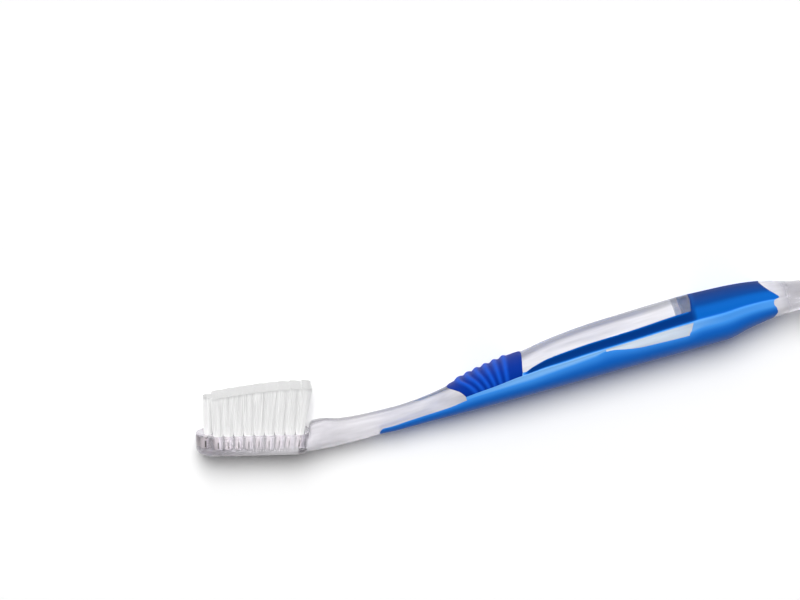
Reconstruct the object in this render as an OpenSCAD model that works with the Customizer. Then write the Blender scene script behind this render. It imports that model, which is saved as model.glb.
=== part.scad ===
// Manual toothbrush, lying on its back with the bristles up.
// X runs from the head's tip (low) to the tail's end (high), Z is up, and Y is across the brush.
// The origin is at mid length, in the middle of the width, on the surface that the brush rests on.
// Lengths are millimetres and angles are degrees.

/* [Tuft pattern] */
// Number of tuft columns along the head
tuft_cols = 10; // [8:1:11]
// Distance from one column of tufts to the next
tuft_pitch = 2.45; // [2.05:0.05:2.9]
// Distance from one row of tufts to the next, across the head
row_pitch = 2.5; // [2.1:0.05:3]
// Bore of a tuft hole
tuft_d = 1.7; // [1.3:0.05:1.95]
// Depth of a tuft hole
hole_depth = 3.2; // [2.4:0.1:3.8]

/* [Head] */
// Plastic left between the first tufts and the head's tip
tip_rim = 2.0; // [1.5:0.1:3]
// Plastic left between the last tufts and the head's heel
heel_rim = 1.3; // [1:0.1:2]
// Plastic left beside the outer rows of tufts
side_rim = 1.1; // [0.8:0.1:2]
// Thickness of the head
head_t = 4.9; // [4.4:0.1:6]
// Angle by which the head is tipped up from the handle
head_tilt = 14.5; // [8:0.1:20]
// Corner radius at the head's tip, seen from above
tip_r = 4.6; // [3:0.1:5]
// Corner radius at the head's heel, seen from above
heel_r = 3.0; // [2:0.1:4]
// Rounding of the head's underside
belly_r = 1.7; // [1:0.1:2]
// Bevel of the edge round the bristled face
rim_bevel = 0.3; // [0.2:0.05:0.5]
// Height of the bristled face above the resting surface, at the heel
deck_z = 5.7; // [5:0.1:7]

/* [Bristles] */
// Length of the bristles at the head's tip
tip_trim = 9.0; // [7.5:0.1:12]
// Length of the bristles at the head's heel
heel_trim = 11.4; // [9:0.1:13]
// Lean of the last column of tufts towards the handle
heel_lean = 10.5; // [0:0.5:16]
// Strands in each tuft
strands = 10; // [8:1:12]
// Depth of a tuft's root below the bristled face
root_drop = 0.25; // [0.1:0.05:0.5]

/* [Anchors] */
// Thickness of the metal blade that holds a tuft in its hole
anchor_t = 0.3; // [0.2:0.05:0.4]
// Height of the blade
anchor_h = 1.5; // [1.2:0.1:1.8]
// How far each end of the blade bites into the wall of its hole
anchor_bite = 0.15; // [0.1:0.01:0.18]
// Bristle folded under the blade
fold_t = 0.4; // [0.3:0.05:0.6]

/* [Neck] */
// Length from the head's heel to the front of the thumb pad
neck_l = 34.5; // [30:0.1:42]
// Height of the neck at its thinnest place
neck_h = 5.5; // [4.6:0.1:6.5]
// Width of the neck at its thinnest place
neck_w = 5.7; // [4.8:0.1:6.7]
// Width of the shoulder behind the head
shoulder_w = 8.9; // [7.4:0.1:10]
// Height of the ridge behind the head, above the bristled face
ridge_h = 1.9; // [1.2:0.1:2.3]
// Length of soft strip on the neck's underside, ahead of the thumb pad
strip_l = 18.4; // [14:0.1:21]
// How far the strip's front end is rounded back at its sides
strip_nose = 1.2; // [0.6:0.1:1.5]

/* [Thumb pad] */
// Number of ribs across the pad
ribs = 6; // [4:1:7]
// Distance from one rib to the next
rib_pitch = 2.4; // [2:0.05:2.9]
// Height of a rib
rib_h = 0.4; // [0.3:0.05:0.6]
// Smooth border ahead of the first rib
pad_front = 1.7; // [1.4:0.1:2.1]
// Smooth border behind the last rib
pad_rear = 3.2; // [2.6:0.1:3.9]
// Height of the pad's floor above the skin around it
pad_proud = 0.15; // [0.1:0.05:0.3]
// Height of the brush at the front of the pad
throat_h = 6.8; // [5.8:0.1:8]
// Width of the brush at the front of the pad
throat_w = 9.0; // [7.5:0.1:10.5]
// How far the pad's front and its first rib are swept back at the sides
pad_sweep = 3.8; // [2:0.1:4.5]
// How far the pad's rear is drawn forward at the sides
pad_tuck = 1.2; // [0.8:0.1:1.5]

/* [Handle] */
// Length of the clear window
window_l = 42.1; // [35:0.1:50]
// Height of the handle where the window starts
window_h = 10.0; // [8.8:0.1:12]
// Width of the handle where the window starts
window_w = 13.4; // [11.5:0.1:15]
// Height of the handle at its fullest
grip_h = 12.5; // [11:0.1:15]
// Width of the handle at its fullest, without its beads
grip_w = 14.2; // [12:0.1:16]
// Length of the clear opening in each side of the grip
wedge_l = 22.5; // [18:0.1:27]
// Depth of the groove between the window and the grip
groove_depth = 0.7; // [0.5:0.05:0.9]
// Height of the bead along the crest of the grip, below the groove
bead_h = 0.15; // [0.1:0.05:0.2]

/* [Rear band] */
// Length of the soft band, to the tips of its side lobes
band_l = 20.7; // [17:0.1:24]
// Height of the brush at the rear of the band
collar_h = 8.0; // [7:0.1:9.5]
// Width of the brush at the rear of the band
collar_w = 11.8; // [10:0.1:13.5]
// How far the side lobes reach behind the band's top
lobe_l = 4.1; // [3:0.1:5]
// Slant of the band's front from the top to the lower edge of the side opening
band_slant = 2.4; // [1.5:0.1:2.9]
// Depth by which the band's upper sides are flattened
facet_depth = 0.35; // [0.2:0.05:0.5]

/* [Tail] */
// Length of the clear tail behind the band
tail_l = 45; // [38:0.1:54]
// Height of the tail near its end
tail_h = 4.6; // [3.9:0.1:5.5]
// Width of the tail near its end
tail_w = 10.4; // [9:0.1:12]
// Height of the tail's underside above the resting surface
tail_lift = 2.1; // [1.4:0.1:2.6]
// Length of the tail's rounded end
tail_end_l = 5.4; // [4.5:0.1:6.5]

/* [Soft skin] */
// Thickness of the soft strip on the neck
strip_t = 0.8; // [0.6:0.05:1]
// Thickness of the soft grip on the handle
grip_t = 1.3; // [1:0.05:1.6]
// Depth cut off the soft grip to give it a flat to rest on
flat_cut = 0.2; // [0.15:0.01:0.3]

/* [Hidden] */
// A strand's thickness and the width of a tuft's pattern of strands, as shares of the tuft hole
strand_share = 0.21;
pattern_share = 0.77;
// How far the tips of a tuft spread, as a share of its width at the root
flare_share = 1.55;
// Sides of a strand
strand_sides = 3;
// Clearance of a tuft's root in its hole
root_fit = 0.02;
// Depth to which the strands run down inside the root
strand_bury = 0.4;
// Overrun of the cuts that break through a surface
cut_over = 1;
// Thickness of the slices that the head is blended from
slice_t = 0.05;
// Steps in each rounded corner of the head, and in the rounding below
corner_steps = 7;
belly_steps = 3;
// Sides of a tuft hole and of the root that fills it
hole_sides = 32;
// Turn from one strand to the next on a tuft's golden spiral
golden_turn = 137.508;

// Rows of tufts, and rows in the column at the tip
head_rows = 4;
tip_rows = 2;
// Size of the head, and the lengths that follow from it
head_l = (tuft_cols - 1) * tuft_pitch + tuft_d + tip_rim + heel_rim;
head_w = (head_rows - 1) * row_pitch + tuft_d + 2 * side_rim;
head_edge_h = head_t - belly_r;
head_run = head_l * cos(head_tilt) + head_edge_h * sin(head_tilt);
pad_l = pad_front + ribs * rib_pitch + pad_rear;
brush_l = head_run + neck_l + pad_l + window_l + band_l + tail_l;

// Places along the brush
x_tip = -brush_l / 2;
x_heel = x_tip + head_run;
x_pad = x_heel + neck_l;
x_strip = x_pad - strip_l;
x_window = x_pad + pad_l;
x_band = x_window + window_l;
x_wedge = x_band - wedge_l;
x_rear = x_band + band_l;
x_end = x_rear + tail_l;
x_ribs = x_pad + pad_front;
x_smooth = x_window - pad_rear;

function mix(a, b, share) = a + (b - a) * share;

// A smooth curve through a table of [place, value] rows, with no overshoot between them
function rise(t, n) = (t[n + 1][1] - t[n][1]) / (t[n + 1][0] - t[n][0]);
function slope(t, n) = n == 0 || n == len(t) - 1 ? 0 :
    let (before = rise(t, n - 1), after = rise(t, n))
    before * after <= 0 ? 0 : 2 * before * after / (before + after);
function row_at(t, x, n = 0) = n < len(t) - 2 && x > t[n + 1][0] ? row_at(t, x, n + 1) : n;
function curve(t, x) =
    let (n = row_at(t, x),
         run = t[n + 1][0] - t[n][0],
         s = min(1, max(0, (x - t[n][0]) / run)),
         bend = s * s * (3 - 2 * s))
    mix(t[n][1], t[n + 1][1], bend)
    + run * s * (1 - s) * ((1 - s) * slope(t, n) - s * slope(t, n + 1));

// Rows of [share of the length from a to b, share of the change from one value to the other]
function rows_between(shares, x0, x1, v0, v1) =
    [for (s = shares) [mix(x0, x1, s[0]), mix(v0, v1, s[1])]];

// The ridge behind the head: places as shares of the head's edge height, rises as shares of its height
ridge_shares = [[-1.2, -0.35], [-0.34, -0.3], [0, 0.1], [0.12, 0.55], [0.26, 0.86], [0.5, 1], [0.9, 1]];
neck_top_shares = [[0.24, 0.4], [0.42, 0.12], [0.64, 0]];
throat_top_shares = [[0.4, 0.22], [0.78, 0.62], [1, 1]];
pad_top_shares = [[0.2, 0.28], [0.4, 0.54], [0.65, 0.78], [0.9, 0.97], [1, 1]];
window_top_shares = [[0.13, 0.36], [0.26, 0.62], [0.4, 0.81], [0.62, 0.92], [0.9, 1], [1, 0.99]];
band_top_shares = [[0.15, 0.06], [0.4, 0.16], [0.6, 0.31], [0.8, 0.57], [1, 1]];
tail_top_shares = [[0.1, 0.42], [0.24, 0.66], [0.5, 0.86], [0.85, 1], [1, 1]];
top_rows = concat(
    [for (s = ridge_shares) [x_heel + s[0] * head_edge_h, deck_z + s[1] * ridge_h]],
    rows_between(neck_top_shares, x_heel, x_pad, neck_h, deck_z + ridge_h),
    rows_between(throat_top_shares, mix(x_heel, x_pad, neck_top_shares[2][0]), x_pad, neck_h, throat_h),
    rows_between(pad_top_shares, x_pad, x_window, throat_h, window_h),
    rows_between(window_top_shares, x_window, x_band, window_h, grip_h),
    rows_between(band_top_shares, x_band, x_rear, grip_h, collar_h + tail_lift),
    rows_between(tail_top_shares, x_rear, x_end, collar_h + tail_lift, tail_h + tail_lift));

// Half widths, worked out in the same way
neck_side_shares = [[-0.11, 0.96], [0.03, 1], [0.15, 0.34], [0.27, 0.1], [0.64, 0]];
throat_side_shares = [[0.4, 0.16], [0.78, 0.62], [1, 1]];
pad_side_shares = [[0.34, 0.44], [0.6, 0.72], [1, 1]];
window_side_shares = [[0.2, 0.5], [0.4, 0.9], [0.7, 1], [1, 0.85]];
band_side_shares = [[0.5, 0.38], [1, 1]];
tail_side_shares = [[0.2, 0.5], [0.5, 0.85], [0.85, 1], [1, 1]];
fullest_w = mix(window_w, grip_w, window_side_shares[3][1]);
side_rows = concat(
    rows_between(neck_side_shares, x_heel, x_pad, neck_w / 2, shoulder_w / 2),
    rows_between(throat_side_shares, mix(x_heel, x_pad, neck_side_shares[4][0]), x_pad,
        neck_w / 2, throat_w / 2),
    rows_between(pad_side_shares, x_pad, x_window, throat_w / 2, window_w / 2),
    rows_between(window_side_shares, x_window, x_band, window_w / 2, grip_w / 2),
    rows_between(band_side_shares, x_band, x_rear, fullest_w / 2, collar_w / 2),
    rows_between(tail_side_shares, x_rear, x_end, collar_w / 2, tail_w / 2));

// Heights of the underside: near the head as shares of the bristled face's height
root_low_shares = [[-0.11, 0.33], [-0.035, 0.19], [0.04, 0.115], [0.12, 0.06], [0.24, 0.03]];
band_low_shares = [[0.3, 0], [0.58, 0.5], [0.8, 0.82], [1, 1], [1.3, 1]];
low_rows = concat(
    [for (s = root_low_shares) [mix(x_heel, x_pad, s[0]), deck_z * s[1]]],
    [[mix(x_heel, x_pad, 0.36), flat_cut / 2], [x_strip, flat_cut / 2],
     [mix(x_strip, x_pad, 0.25), -flat_cut]],
    rows_between(band_low_shares, x_band, x_rear, -flat_cut, tail_lift));

// The rounded end of the tail, as a share of its full width
function end_share(x) =
    let (s = max(0, (x - x_end + tail_end_l) / tail_end_l)) sqrt(max(0, 1 - s * s));
// A squarish ellipse: angle 0 is the top, 90 the side and 180 the bottom
square_share = 0.85;
function squared(v) = sign(v) * pow(abs(v), square_share);
function section_y(x, angle, inset) =
    (curve(side_rows, x) * end_share(x) - inset) * squared(sin(angle));
function section_z(x, angle, inset) =
    let (low = curve(low_rows, x),
         half_h = (curve(top_rows, x) - low) / 2,
         share = sqrt(end_share(x)))
    low + half_h + (half_h * share - inset) * squared(cos(angle));

// Named lines run along the brush at these steps round half a section
window_line = 4;
groove_line = 5;
crest_line = 6;
strip_line = 8;
foot_line = 12;
half_steps = 13;
around = 2 * half_steps;
foot_angle = 164;
// The groove's deepest line, as a share of the way from the window's edge to the crest
groove_share = 0.68;
// Angles of the named lines along the brush
window_edge_rows = [[x_pad, 62], [x_smooth, 66], [x_window, 73], [x_window + pad_tuck, 68],
    [mix(x_window, x_band, 0.16), 61.5], [mix(x_window, x_band, 0.6), 60.5], [x_band, 55], [x_end, 55]];
crest_rows = [[x_heel, 82], [mix(x_pad, x_window, 0.5), 84], [x_window, 80],
    [mix(x_window, x_band, 0.25), 84], [x_wedge, 84], [x_band, 81.5], [x_end, 81.5]];
strip_edge_rows = [[x_heel, 109], [x_strip, 109], [mix(x_strip, x_pad, 0.45), 101],
    [x_pad, 95], [x_pad + pad_sweep, 92], [x_window, 96], [mix(x_window, x_wedge, 0.85), 92],
    [x_wedge, 88], [mix(x_wedge, x_band, 0.4), 97], [x_band, 101], [x_end, 101]];
function between_lines(k, k0, k1, a0, a1) = mix(a0, a1, (k - k0) / (k1 - k0));
function line_angle(k, x) =
    let (edge = curve(window_edge_rows, x),
         crest = curve(crest_rows, x),
         strip = curve(strip_edge_rows, x),
         floor = mix(edge, crest, groove_share))
    k <= window_line ? between_lines(k, 0, window_line, 0, edge) :
    k <= groove_line ? between_lines(k, window_line, groove_line, edge, floor) :
    k <= crest_line ? between_lines(k, groove_line, crest_line, floor, crest) :
    k <= strip_line ? between_lines(k, crest_line, strip_line, crest, strip) :
    k <= foot_line ? between_lines(k, strip_line, foot_line, strip, foot_angle) :
    180;

// Stations along the brush, from inside the head's heel to the tail's end. The first ones, and the
// start of the neck's, are at shares of the head's edge height from the heel.
function steps(x0, x1, n) = [for (s = [0 : n - 1]) mix(x0, x1, s / n)];
rib_steps = 4;
heel_shares = [-1.2, -0.34, 0, 0.12, 0.26, 0.5, 0.9];
neck_share = 1.5;
end_angles = [0, 22, 42, 60, 74, 84];
stations = concat(
    [for (s = heel_shares) x_heel + s * head_edge_h],
    steps(x_heel + neck_share * head_edge_h, x_strip, 6),
    steps(x_strip, x_pad, 7),
    steps(x_pad, x_ribs, 2),
    steps(x_ribs, x_smooth, ribs * rib_steps),
    steps(x_smooth, x_window, 3),
    steps(x_window, x_wedge, 8),
    steps(x_wedge, x_band, 7),
    steps(x_band, x_rear, 9),
    steps(x_rear, x_end - tail_end_l, 10),
    [for (a = end_angles) x_end - tail_end_l * (1 - sin(a))]);
last = len(stations) - 1;
function station_at(x, n = 0) = n >= last || stations[n] > x - slice_t ? n : station_at(x, n + 1);
i_strip = station_at(x_strip);
i_pad = station_at(x_pad);
i_window = station_at(x_window);
i_wedge = station_at(x_wedge);
i_band = station_at(x_band);
i_rear = station_at(x_rear);

// Each station line is shifted along the brush where a piece ends on a slant or a curve
nose_rows = [[mix(x_heel, x_strip, 0.7), 0], [x_strip, strip_nose], [mix(x_strip, x_pad, 0.3), 0]];
sweep_rows = [[mix(x_strip, x_pad, 0.3), 0], [x_pad, pad_sweep], [x_window, -pad_tuck],
    [mix(x_window, x_band, 0.2), 0]];
slant_rows = [[mix(x_window, x_band, 0.8), 0], [x_band, band_slant], [mix(x_band, x_rear, 0.4), 0]];
lobe_rows = [[x_band, 0], [mix(x_band, x_rear, 0.5), 0.25], [x_rear, 1], [mix(x_rear, x_end, 0.3), 0]];
// The band's front edge from the top to the bottom, as shares of its slant
slant_shares = [0, 0, 0.04, 0.12, 0.25, 0.28, 0.32, 0.62, 1, 1, 1, 1, 1, 1];
// The rear edge of the band from the top to the bottom, as shares of the lobes' length
lobe_shares = [0.14, 0.2, 0.32, 0.5, 0.74, 1, 0.66, 0.6, 0.7, 0.72, 0.6, 0.46, 0.4, 0.4];
nose_share = 0.3;
function line_nose(k) = k <= strip_line ? 1 : pow(nose_share, k - strip_line);
function line_sweep(k) = k >= crest_line ? 1 : pow(sin(90 * k / crest_line), 2);
function line_x(i, k) =
    let (x = stations[i])
    x + curve(nose_rows, x) * line_nose(k) + curve(sweep_rows, x) * line_sweep(k)
    - curve(slant_rows, x) * slant_shares[k] - lobe_l * (1 - lobe_shares[k]) * curve(lobe_rows, x);

// Which piece covers the skin beyond station i, in the strip from line k to line k + 1
CLEAR = 0;
GRIP = 1;
PAD = 2;
function cover(i, k) =
    i < i_strip || i >= i_rear ? CLEAR :
    i < i_pad ? (k >= strip_line ? GRIP : CLEAR) :
    i < i_window ? (k >= crest_line ? GRIP : PAD) :
    i < i_band ? (k < window_line || (i >= i_wedge && k >= crest_line && k < strip_line) ? CLEAR : GRIP) :
    GRIP;

// Thickness of the soft skin
skin_rows = [[x_strip, strip_t], [x_pad, strip_t], [mix(x_pad, x_window, 0.4), grip_t], [x_end, grip_t]];
// How far the outer face dips: the groove, the raised bead and the band's flattened upper sides
groove_rows = [[x_window, 0], [mix(x_window, x_band, 0.12), 0.8], [mix(x_window, x_band, 0.7), 1],
    [mix(x_window, x_band, 0.93), 1], [mix(x_band, x_rear, 0.12), 0]];
bead_rows = [[mix(x_pad, x_window, 0.2), 0], [x_window, 0.9], [x_band, 1],
    [mix(x_band, x_rear, 0.7), 0.7], [x_rear, 0]];
facet_rows = [[mix(x_window, x_band, 0.97), 0], [mix(x_band, x_rear, 0.15), 1],
    [mix(x_band, x_rear, 0.6), 1], [mix(x_band, x_rear, 0.95), 0.6], [mix(x_rear, x_end, 0.1), 0]];
// The flattening from the top line to the bottom line, as shares of its depth
facet_shares = [0, 0.1, 0.4, 0.75, 1, 0.9, 0, 0, 0, 0, 0, 0, 0, 0];
function dip(i, k) =
    let (x = stations[i])
    (k == groove_line ? groove_depth * curve(groove_rows, x) : 0)
    - (k == crest_line ? bead_h * curve(bead_rows, x) : 0)
    + facet_depth * facet_shares[k] * curve(facet_rows, x);
function rib_wave(x) =
    let (turns = (x - x_ribs) / rib_pitch) turns <= 0 || turns >= ribs ? 0 : (1 - cos(360 * turns)) / 2;
// Height of a rib near the pad's side edges, as a share of its full height
rib_fade_share = 0.5;
function pad_height(i, k) =
    i <= i_pad || i >= i_window || k >= crest_line ? 0 :
    pad_proud + rib_h * rib_wave(stations[i]) * (k <= window_line ? 1 : rib_fade_share);

// Points of the skin at three levels: the outer face, the face under the soft skin, and the ribbed pad
OUTER = 0;
UNDER = 1;
RIBBED = 2;
function skin_point(level, i, j) =
    let (k = j <= half_steps ? j : around - j,
         side = j <= half_steps ? -1 : 1,
         x = line_x(i, k),
         angle = line_angle(k, x),
         inset = level == UNDER ? curve(skin_rows, x) : level == RIBBED ? -pad_height(i, k) : dip(i, k))
    [x, side * section_y(x, angle, inset), section_z(x, angle, inset)];
skin_points = [for (level = [OUTER : RIBBED], i = [0 : last], j = [0 : around - 1]) skin_point(level, i, j)];
function at(level, i, j) = (level * (last + 1) + i) * around + j % around;

// The strip number of a cell on either side of the brush
function strip_of(j) = let (n = (j + around) % around) n < half_steps ? n : around - 1 - n;
function cover_at(i, j) = i < 0 || i >= last ? CLEAR : cover(i, strip_of(j));
function two(a, b, c, d, flip) = flip ? [[a, b, c], [a, c, d]] : [[a, c, b], [a, d, c]];
function cell(level, i, j, flip) =
    two(at(level, i, j), at(level, i, j + 1), at(level, i + 1, j + 1), at(level, i + 1, j), flip);
function across_wall(i, j, top, flip) =
    two(at(top, i, j), at(top, i, j + 1), at(UNDER, i, j + 1), at(UNDER, i, j), flip);
function along_wall(i, j, top, flip) =
    two(at(top, i, j), at(top, i + 1, j), at(UNDER, i + 1, j), at(UNDER, i, j), flip);

// A soft piece: its outer face, its inner face and the walls round its edge
function piece_faces(piece, top) = [
    for (i = [0 : last - 1], j = [0 : around - 1])
        let (own = cover_at(i, j) == piece)
        if (own || cover_at(i - 1, j) == piece || cover_at(i, j - 1) == piece)
            each concat(
                own ? concat(cell(top, i, j, false), cell(UNDER, i, j, true)) : [],
                own != (cover_at(i - 1, j) == piece) ? across_wall(i, j, top, own) : [],
                own != (cover_at(i, j - 1) == piece) ? along_wall(i, j, top, !own) : [])];
// The clear body: bare skin, the faces under the soft pieces, the walls between them and both ends
body_faces = concat(
    [for (j = [1 : around - 2]) [at(OUTER, 0, 0), at(OUTER, 0, j), at(OUTER, 0, j + 1)]],
    [for (j = [1 : around - 2]) [at(OUTER, last, 0), at(OUTER, last, j + 1), at(OUTER, last, j)]],
    [for (i = [0 : last - 1], j = [0 : around - 1])
        let (bare = cover_at(i, j) == CLEAR,
             bare_before = cover_at(i - 1, j) == CLEAR,
             bare_beside = cover_at(i, j - 1) == CLEAR)
        each concat(
            cell(bare ? OUTER : UNDER, i, j, false),
            i > 0 && bare != bare_before ? across_wall(i, j, OUTER, bare) : [],
            bare != bare_beside ? along_wall(i, j, OUTER, !bare) : [])]);

// Tufts as [distance ahead of the heel, place across, share of the way from the tip to the heel]
function rows_in(c) = c == 0 ? tip_rows : head_rows;
tufts = [for (c = [0 : tuft_cols - 1], r = [0 : rows_in(c) - 1])
    [heel_rim + tuft_d / 2 + (tuft_cols - 1 - c) * tuft_pitch, (r - (rows_in(c) - 1) / 2) * row_pitch,
     c / (tuft_cols - 1)]];
function tuft_name(n) = str("tuft_", n < 9 ? "0" : "", n + 1);
function lean_of(share) = heel_lean * pow(share, 2);
function trim_of(share) = mix(tip_trim, heel_trim, sin(90 * pow(share, 1.1)));

// Places its children on the bristled face, with their X axis along the head and Z out of the face
module on_deck() translate([x_heel, 0, deck_z]) rotate([0, head_tilt, 0]) children();
module at_tuft(tuft) on_deck() translate([-tuft[0], tuft[1], 0]) rotate([0, lean_of(tuft[2]), 0]) children();

// The head's outline from above, drawn in by an inset all round
function corner(x, y, r, start) =
    [for (s = [0 : corner_steps]) let (a = start + 90 * s / corner_steps) [x + r * cos(a), y + r * sin(a)]];
module head_outline(inset) {
    tip = min(tip_r, head_w / 2);
    heel = min(heel_r, head_w / 2);
    polygon(concat(
        corner(-heel, head_w / 2 - heel, heel - inset, 0),
        corner(tip - head_l, head_w / 2 - tip, tip - inset, 90),
        corner(tip - head_l, tip - head_w / 2, tip - inset, 180),
        corner(-heel, heel - head_w / 2, heel - inset, 270)));
}

module head_slab() {
    on_deck() hull() {
        translate([0, 0, -head_edge_h]) linear_extrude(head_edge_h - rim_bevel) head_outline(0);
        translate([0, 0, -slice_t]) linear_extrude(slice_t) head_outline(rim_bevel);
        for (s = [1 : belly_steps]) {
            a = 90 * s / belly_steps;
            translate([0, 0, -head_edge_h - belly_r * sin(a)])
                linear_extrude(slice_t) head_outline(belly_r * (1 - cos(a)));
        }
    }
}

module tuft_hole() {
    translate([0, 0, -hole_depth]) cylinder(h = hole_depth + cut_over, d = tuft_d, $fn = hole_sides);
}

module anchor_blade() {
    translate([-anchor_t / 2, -tuft_d / 2 - anchor_bite, fold_t - hole_depth])
        cube([anchor_t, tuft_d + 2 * anchor_bite, anchor_h]);
}

// One clear moulding from the head to the tail, with a blind hole for each tuft
module clear_body() {
    color("aliceblue", 0.6)
        difference() {
            union() {
                head_slab();
                polyhedron(skin_points, body_faces);
            }
            for (tuft = tufts) at_tuft(tuft) {
                tuft_hole();
                anchor_blade();
            }
        }
}

// The soft moulding: a strip under the neck, the handle's back and sides, and the band round the rear
module soft_grip() {
    color("royalblue")
        difference() {
            polyhedron(skin_points, piece_faces(GRIP, OUTER));
            translate([x_tip, -grip_w, -grip_w]) cube([brush_l, 2 * grip_w, grip_w]);
        }
}

module thumb_pad() {
    color("mediumblue") polyhedron(skin_points, piece_faces(PAD, RIBBED));
}

module tuft_anchors() {
    color("goldenrod") for (tuft = tufts) at_tuft(tuft) anchor_blade();
}

// One tuft: strands that spread from their folded root, trimmed to the brush's profile
module tuft(n) {
    share = tufts[n][2];
    turn = golden_turn * sign(tufts[n][1]);
    pattern_r = tuft_d / 2 * pattern_share;
    strand_l = trim_of(share) + root_drop + strand_bury;
    color("white") at_tuft(tufts[n])
        union() {
            difference() {
                translate([0, 0, -hole_depth])
                    cylinder(h = hole_depth - root_drop, r = tuft_d / 2 - root_fit, $fn = hole_sides);
                anchor_blade();
            }
            for (s = [0 : strands - 1]) {
                r = pattern_r * sqrt((s + 1 / 2) / strands);
                tilt = atan(r * (flare_share - 1) / strand_l);
                rotate([0, 0, s * turn])
                    translate([r, 0, -root_drop - strand_bury])
                        rotate([0, tilt, 0])
                            cylinder(h = strand_l, d = tuft_d * strand_share, $fn = strand_sides);
            }
        }
}

clear_body();
soft_grip();
thumb_pad();
tuft_anchors();
for (n = [0 : len(tufts) - 1]) tuft(n);
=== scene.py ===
import bisect
import math
import random
from functools import partial, reduce

import bmesh
import bpy
from bpy.props import FloatProperty, FloatVectorProperty, IntProperty, PointerProperty
from mathutils import Matrix, Vector


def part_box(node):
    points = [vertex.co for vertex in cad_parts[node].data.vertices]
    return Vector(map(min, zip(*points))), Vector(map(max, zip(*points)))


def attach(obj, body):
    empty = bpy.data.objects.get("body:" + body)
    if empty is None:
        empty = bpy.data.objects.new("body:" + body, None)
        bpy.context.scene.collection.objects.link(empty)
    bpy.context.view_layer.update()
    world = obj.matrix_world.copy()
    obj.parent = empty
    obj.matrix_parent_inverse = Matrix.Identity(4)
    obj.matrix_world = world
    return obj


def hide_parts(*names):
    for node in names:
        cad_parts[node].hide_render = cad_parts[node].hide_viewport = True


bl_info = {
    "name": "Manual toothbrush",
    "version": (1, 0, 0),
    "blender": (4, 5, 0),
    "location": "3D View > Sidebar > Toothbrush",
    "description": "Dresses the packed toothbrush: clear body, soft grip, thumb pad and bristles",
    "category": "Add Mesh",
}

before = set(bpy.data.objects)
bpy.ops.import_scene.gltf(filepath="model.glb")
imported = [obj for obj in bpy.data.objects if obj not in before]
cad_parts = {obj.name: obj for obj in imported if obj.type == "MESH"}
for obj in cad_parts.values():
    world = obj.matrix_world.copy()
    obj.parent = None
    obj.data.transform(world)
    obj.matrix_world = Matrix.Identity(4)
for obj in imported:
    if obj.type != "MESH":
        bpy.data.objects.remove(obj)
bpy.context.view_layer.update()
BODY = "root"
MM = 0.001
NEAR = MM / 100
ROUND_SIDES = 24
PLASTIC_IOR = 1.5

# The angles in degrees beyond which an edge is sharp, where it is shaded and where it is bevelled.
BODY_SHARP = 35
SKIN_SHARP = 40
BEVEL_SHARP = 50
TUFT_SHARP = 50


def length(label, millimetres, description):
    """A length property whose default is given in millimetres."""
    return FloatProperty(
        name=label, description=description, default=millimetres * MM, min=0.0, unit="LENGTH", precision=5
    )


def angle(label, degrees, description):
    """An angle property whose default is given in degrees."""
    return FloatProperty(name=label, description=description, default=math.radians(degrees), unit="ROTATION")


def share(label, value, description):
    """A property that holds a share from nought to one."""
    return FloatProperty(name=label, description=description, default=value, min=0.0, max=1.0, subtype="FACTOR")


def colour(label, red, green, blue, description):
    """A colour property."""
    return FloatVectorProperty(
        name=label, description=description, default=(red, green, blue), size=3,
        min=0.0, max=1.0, subtype="COLOR",
    )


def count(label, value, least, description):
    """A property that holds a whole number."""
    return IntProperty(name=label, description=description, default=value, min=least)


class HeadSizes(bpy.types.PropertyGroup):
    """Sizes of the head and its pattern of tufts."""

    columns: count("Tuft columns", 10, 3, "Columns of tufts along the head")
    rows: count("Tuft rows", 4, 2, "Rows of tufts across the head")
    tip_rows: count("Rows at the tip", 2, 1, "Rows of tufts in the column at the tip")
    pitch: length("Column pitch", 2.45, "From one column of tufts to the next")
    row_pitch: length("Row pitch", 2.5, "From one row of tufts to the next")
    hole: length("Tuft hole", 1.7, "Bore of a tuft hole")
    hole_depth: length("Hole depth", 3.2, "Depth of a tuft hole")
    tip_rim: length("Tip rim", 2.0, "Plastic between the first tufts and the head's tip")
    heel_rim: length("Heel rim", 1.3, "Plastic between the last tufts and the head's heel")
    side_rim: length("Side rim", 1.1, "Plastic beside the outer rows")
    thickness: length("Thickness", 4.9, "Thickness of the head")
    tilt: angle("Tilt", 14.5, "How far the head is tipped up from the handle")
    tip_corner: length("Tip corners", 4.6, "Corner radius at the tip, seen from above")
    heel_corner: length("Heel corners", 3.0, "Corner radius at the heel, seen from above")
    belly: length("Belly", 1.7, "Rounding of the head's underside")
    rim_edge: length("Rim edge", 0.3, "Rounding of the edge round the bristled face")
    deck: length("Deck height", 5.7, "Height of the bristled face above the floor, at the heel")


class BristleSizes(bpy.types.PropertyGroup):
    """Sizes of the tufts and their filaments."""

    tip_trim: length("Length at the tip", 9.0, "Length of the bristles at the head's tip")
    heel_trim: length("Length at the heel", 11.4, "Length of the bristles at the head's heel")
    lean: angle("Lean", 10.5, "Lean of the last column towards the handle")
    filaments: count("Filaments", 110, 7, "Filaments in each tuft")
    filament: length("Filament", 0.19, "Thickness of a filament")
    flare: length("Flare", 0.85, "How far the rim of a tuft spreads by its tip")
    open_share: share("Open sides", 0.15, "How far a tuft spreads where no tuft stands beside it, as a share")
    stray: length("Stray", 0.1, "How far the tip of a filament strays at most")
    root_drop: length("Root drop", 0.25, "Depth of a tuft's folded root below the bristled face")
    root_press: length("Root press", 0.01, "How far a tuft's root is pressed into the wall of its hole")


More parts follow.
